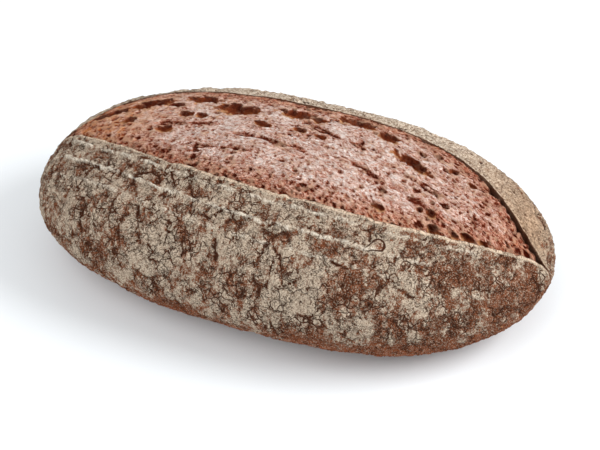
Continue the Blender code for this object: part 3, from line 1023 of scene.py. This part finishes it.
def crumbMaterial():
    look = tornCrumb
    values = ("rest", "flow", "sunk", "raised", "skins", "mouth", "fromFront", "fromBack", "holeFar", "gap")
    material, add, read = startMaterial("torn rye crumb", look["stops"][3][1], look["roughness"], values)
    place, x = placeInMm(add, read["rest"])[:2]
    pattern = addPatterns(add, place, look["patterns"])

    # Threads, slits and strands run with the flow
    grid = add("VectorMath", (read["flow"], (0.5, 1.0, 1.0)), times)
    thread = add("TexNoise", {"Vector": grid, "Scale": 1 / look["threadSize"],
                              "Detail": 5.0, "Roughness": 0.75, "Distortion": 1.2})
    thread = add("MapRange", (thread, 0.28, 0.72))
    wavy = add("VectorMath", (read["flow"], (0.4, 1.0, 1.0)), times)
    slits, strands = (fold(add, [contourLines(add, wavy, *line, 0.6, 0.6) for line in look[name]], largest)
                      for name in ("slits", "strands"))

    # How light the crumb is: the threads' own tone, a painted highlight on raised places, and painted shade
    # in sunk places and along the lips, where the burst dips under them
    blot = add("MapRange", (pattern["blot"], 0.38, 0.62))
    fields = {**read, "x": x, "broad": pattern["broad"], "blot": blot, "thread": thread, "slits": slits,
              "strands": strands}
    level = add("Math", (thread, *look["level"]), timesPlus)
    level = addShares(add, level, fields, look["levelShares"])
    level = fold(add, [level] + addSpans(add, fields, look["levelSpans"]), plus)
    crumb = add("ValToRGB", (level,))
    setStops(crumb.node.color_ramp, look["stops"])

    # The oven gave the tips and the edges an amber tint
    amber = fold(add, addSpans(add, fields, look["amberSpans"]), largest)
    amber = fold(add, (amber, add("Math", (blot, 0.6, 0.45), timesPlus)), times)
    crumb = add("Mix", {0: amber, 6: crumb, 7: look["amber"]}, {**colours, "blend_type": "MULTIPLY"}, 2)

    rim = fold(add, (read["skins"], blot, 0.7), times)
    # Inside the bubbles: painted shade towards the back and deep inside, and a painted amber light on the
    # near floor
    shade = add("Math", (read["holeFar"], *look["shade"]), timesPlus)
    shade = addShares(add, shade, fields, look["shadeShares"])
    hollow = add("ValToRGB", (shade,))
    setStops(hollow.node.color_ramp, look["hollow"])
    inHole = add("MapRange", (read["mouth"], 0.02, 0.4), smooth)
    grainy = add("MapRange", (thread, 0.0, 1.0, 1.0, 0.62))
    inHole = fold(add, (inHole, grainy), times)
    # Painted shade along the groove at the back lip, strongest where the groove is deepest
    paintedGapShade = fold(add, (add("Math", (blot, 0.5, 0.55), timesPlus), read["gap"]), times)
    crumb = coat(add, crumb, (rim, look["rim"]), (inHole, hollow), (paintedGapShade, look["paintedGapShade"]))
    return endMaterial(material, add, crumb, addShares(add, thread, fields, look["bump"]))


# Clots of flour that shook loose and stuck to the foot of the flank
clots = {
    "Density": 17000.0,  # clots a square metre where they lie thickest
    "Top": 14 * mm,
    "Size": 0.5 * mm,
}
clotSeeds = {"places": 7, "turns": 3, "sizes": 5}
clotDent = 0.45 * mm


def clotTree(material):  # scatters uneven grains over the foot of the flank
    tree, add, given, read = startTree("flour clots", clots, ("torn",))
    position = add("GeometryNodeInputPosition")
    z = add("SeparateXYZ", (position,), None, 2)
    low = add("MapRange", (z, given["Top"], 2 * mm, 0.03, 1.0), smooth)
    above = add("Math", (z, 1.0 * mm), {"operation": "GREATER_THAN"})
    onCrust = add("Math", (read["torn"], 0.01), lessThan)
    patchy = add("TexNoise", {"Vector": position, "Scale": 60.0})
    patchy = add("MapRange", (patchy, 0.42, 0.62))
    density = fold(add, (given["Density"], low, above, onCrust, patchy), times)
    spots = add("GeometryNodeDistributePointsOnFaces",
                {"Mesh": given["Geometry"], "Density": density, "Seed": clotSeeds["places"]}, None, "Points")
    grain = add("GeometryNodeMeshIcoSphere", {"Radius": given["Size"], "Subdivisions": 2})
    dent = add("TexNoise", {"Vector": position, "Scale": 1500.0}, None, "Color")
    dent = add("VectorMath", (dent, [2 * clotDent] * 3, [-clotDent] * 3), timesPlus)
    grain = add("GeometryNodeSetPosition", {"Geometry": grain, "Offset": dent})
    turn = add("FunctionNodeRandomValue", {"Min": [0.0] * 3, "Max": [6.28] * 3, "Seed": clotSeeds["turns"]},
               vectors, "Value")
    chance = add("FunctionNodeRandomValue", {"Seed": clotSeeds["sizes"]}, floats, "Value")
    chance = add("Math", (chance, 9.0), {"operation": "POWER"})  # few are large
    scale = add("Math", (chance, 2.2, 0.6), timesPlus)
    placed = add("GeometryNodeInstanceOnPoints",
                 {"Points": spots, "Instance": grain, "Rotation": turn, "Scale": scale})
    return endTree(tree, placed, material)


# Clotted flour: damp flour rolled into grains and dried on, a little browned by the oven
clotLook = {
    "pale": "#c2ae92",
    "browned": "#96694a",
    "roughness": 0.95,
    "size": 6 * mm,
}


def clotMaterial():
    material, add = startMaterial("clotted flour", clotLook["pale"], clotLook["roughness"])[:2]
    place = add("TexCoord", (), None, "Object")
    tone = add("TexNoise", {"Vector": place, "Scale": 1 / clotLook["size"], "Detail": 2.0})
    tone = add("MapRange", (tone, 0.42, 0.6))
    return endMaterial(material, add, coat(add, clotLook["browned"], (tone, clotLook["pale"])))


# The table and the light: a plain pale floor, a soft key from the back right and pale light all round
studio = {
    "floor": "#e4e8eb",
    "floorSize": 6.0,
    "world": "#ffffff",
    "worldStrength": 0.7,
    "lights": (
        {"name": "key", "azimuth": 104, "elevation": 37, "distance": 1.6, "size": 1.1, "power": 26},
        {"name": "fill", "azimuth": -22, "elevation": 44, "distance": 2.0, "size": 2.2, "power": 25},
    ),
}


def fromAngles(setting):  # the direction back to a light or a camera; azimuth 0 looks along +Y
    a, e = math.radians(setting["azimuth"]), math.radians(setting["elevation"])
    return Vector((math.sin(a) * math.cos(e), -math.cos(a) * math.cos(e), math.sin(e)))


def buildStudio():
    half = studio["floorSize"] / 2
    corners = [(-half, -half, 0), (half, -half, 0), (half, half, 0), (-half, half, 0)]
    mesh = bpy.data.meshes.new("floor")
    mesh.from_pydata(corners, [], [(0, 1, 2, 3)])
    floor = addObject("floor", mesh)
    mesh.materials.append(startMaterial("pale studio paper", studio["floor"], 0.9)[0])
    world = bpy.data.worlds.new("studio")
    bpy.context.scene.world = world
    world.use_nodes = True
    background = world.node_tree.nodes["Background"]
    background.inputs["Color"].default_value = hexColour(studio["world"])
    background.inputs["Strength"].default_value = studio["worldStrength"]
    for setting in studio["lights"]:
        data = bpy.data.lights.new(setting["name"], "AREA")
        data.shape = "DISK"
        data.size = setting["size"]
        data.energy = setting["power"]
        light = bpy.data.objects.new(setting["name"], data)
        back = fromAngles(setting)
        light.location = back * setting["distance"]
        light.rotation_euler = back.to_track_quat("Z", "Y").to_euler()
        bpy.context.scene.collection.objects.link(light)
    bpy.context.scene.view_settings.view_transform = "Standard"


# The camera stands where the photograph was taken from, and looks a little below the loaf's middle
shot = {
    "azimuth": 22.14,
    "elevation": 39.96,
    "distance": 1.2,
    "lens": 136.2,
    "middle": Vector((0, 0, 45 * mm)),
    "aimRight": 2.3 * mm,
    "aimDown": 9.9 * mm,
}


def buildCamera():
    back, a = fromAngles(shot), math.radians(shot["azimuth"])
    right = Vector((math.cos(a), math.sin(a), 0))
    up = back.cross(right)
    data = bpy.data.cameras.new("camera")
    data.lens = shot["lens"]
    camera = bpy.data.objects.new("camera", data)
    camera.location = shot["middle"] + back * shot["distance"]
    aim = shot["middle"] + right * shot["aimRight"] - up * shot["aimDown"]
    camera.rotation_euler = (camera.location - aim).to_track_quat("Z", "Y").to_euler()
    bpy.context.scene.collection.objects.link(camera)
    bpy.context.scene.camera = camera


crustPiece = buildCrust()
storeCrustMarks(crustPiece)
runTree(crustPiece, crustTree(crustMaterial()), crustRelief)
keepInside(crustPiece)
print("crust built:", len(crustPiece.data.polygons), "faces")

burstPiece = buildBurst()
runTree(burstPiece, burstTree(crumbMaterial()), burstRelief)
keepInside(burstPiece)
print("burst built:", len(burstPiece.data.polygons), "faces")

clotPiece = addObject("flour-clots", crustPiece.data.copy())
runTree(clotPiece, clotTree(clotMaterial()), clots)
keepInside(clotPiece)
print("clots scattered:", len(clotPiece.data.polygons), "faces")

for piece, slot in ((crustPiece, "floured_crust"), (burstPiece, "torn_crumb"), (clotPiece, "floured_crust")):
    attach(piece, "root")
    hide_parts("loaf")

buildStudio()
buildCamera()
print("studio and camera set")
